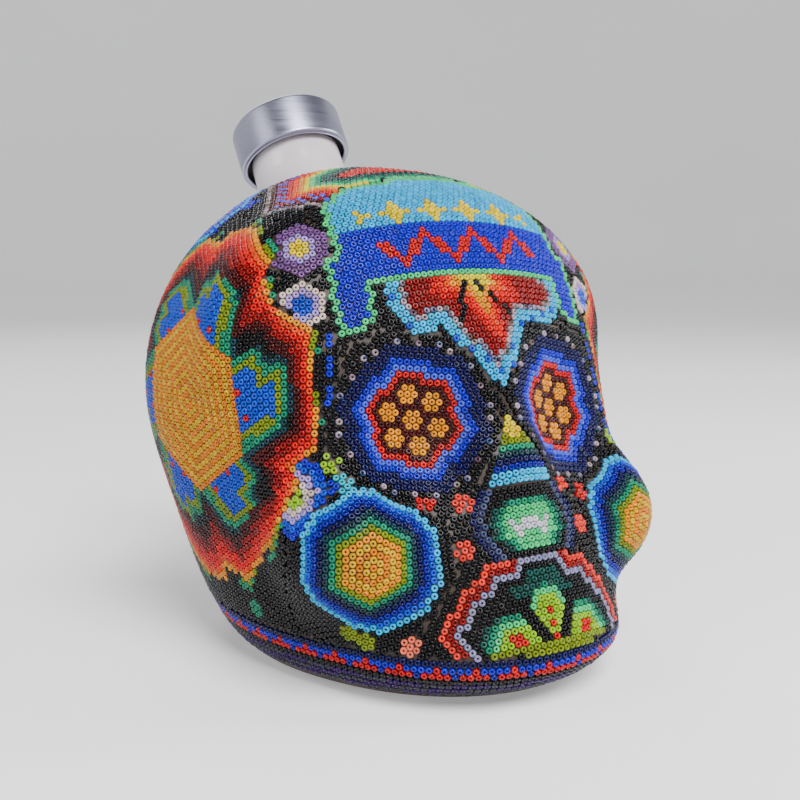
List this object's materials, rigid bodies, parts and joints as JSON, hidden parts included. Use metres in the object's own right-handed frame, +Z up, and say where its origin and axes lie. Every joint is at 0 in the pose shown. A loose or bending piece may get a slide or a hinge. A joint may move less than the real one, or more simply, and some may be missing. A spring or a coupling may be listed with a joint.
{
  "type": "beaded skull bottle",
  "caption": "Hollow ceramic skull bottle covered with glass seed beads set in beeswax in folk-art motifs, with a slanted neck and a metal-capped cork stopper that lifts off.",
  "frame": {"origin": "on the table plane under the head, midway between the sides, on the flat foot", "axes": "+Z up, the face looks towards -Y, +X towards the figure's own left; the neck leans back towards +Y"},
  "size_m": [0.131, 0.157, 0.162],
  "materials": {
    "glazed_ceramic": "glossy clear-glazed off-white ceramic",
    "beeswax": "soft waxy",
    "beads_royal_blue": "glossy royal blue glass seed beads",
    "beads_maroon": "glossy maroon glass seed beads",
    "beads_light_blue": "glossy light blue glass seed beads",
    "beads_crimson": "glossy crimson glass seed beads",
    "beads_teal": "glossy teal glass seed beads",
    "beads_orange": "glossy orange glass seed beads",
    "beads_black": "glossy black glass seed beads",
    "beads_violet": "glossy violet glass seed beads",
    "satin_aluminium": "satin silver",
    "insert": "matt dark",
    "cork": "natural agglomerated cork"
  },
  "bodies": {
    "bottle_body": {"bottle": "glazed_ceramic", "wax_skin": "beeswax", "beads_base_band": "beads_royal_blue", "beads_left_eye": "beads_maroon", "beads_right_eye": "beads_maroon", "beads_left_cheek": "beads_light_blue", "beads_right_cheek": "beads_light_blue", "beads_mouth_fan": "beads_crimson", "beads_nose": "beads_light_blue", "beads_lip_panel": "beads_teal", "beads_ribbon": "beads_royal_blue", "beads_forehead_flower": "beads_crimson", "beads_neck_collar": "beads_crimson", "beads_crown": "beads_teal", "beads_left_mandala": "beads_orange", "beads_right_mandala": "beads_orange", "beads_face_ground": "beads_black", "beads_back_medallion": "beads_violet", "beads_left_jaw": "beads_black", "beads_left_temple": "beads_black", "beads_right_jaw": "beads_black", "beads_right_temple": "beads_black", "beads_nape": "beads_black", "beads_back_crown": "beads_black"},
    "stopper": {"stopper_cap": "satin_aluminium", "stopper_core": "insert", "stopper_cork": "cork"}
  },
  "joints": [
    {"name": "stopper_lift", "type": "slide", "parent": "bottle_body", "child": "stopper", "axis": [0, 0.5299, 0.848], "range_m": [0, 0.03]}
  ]
}
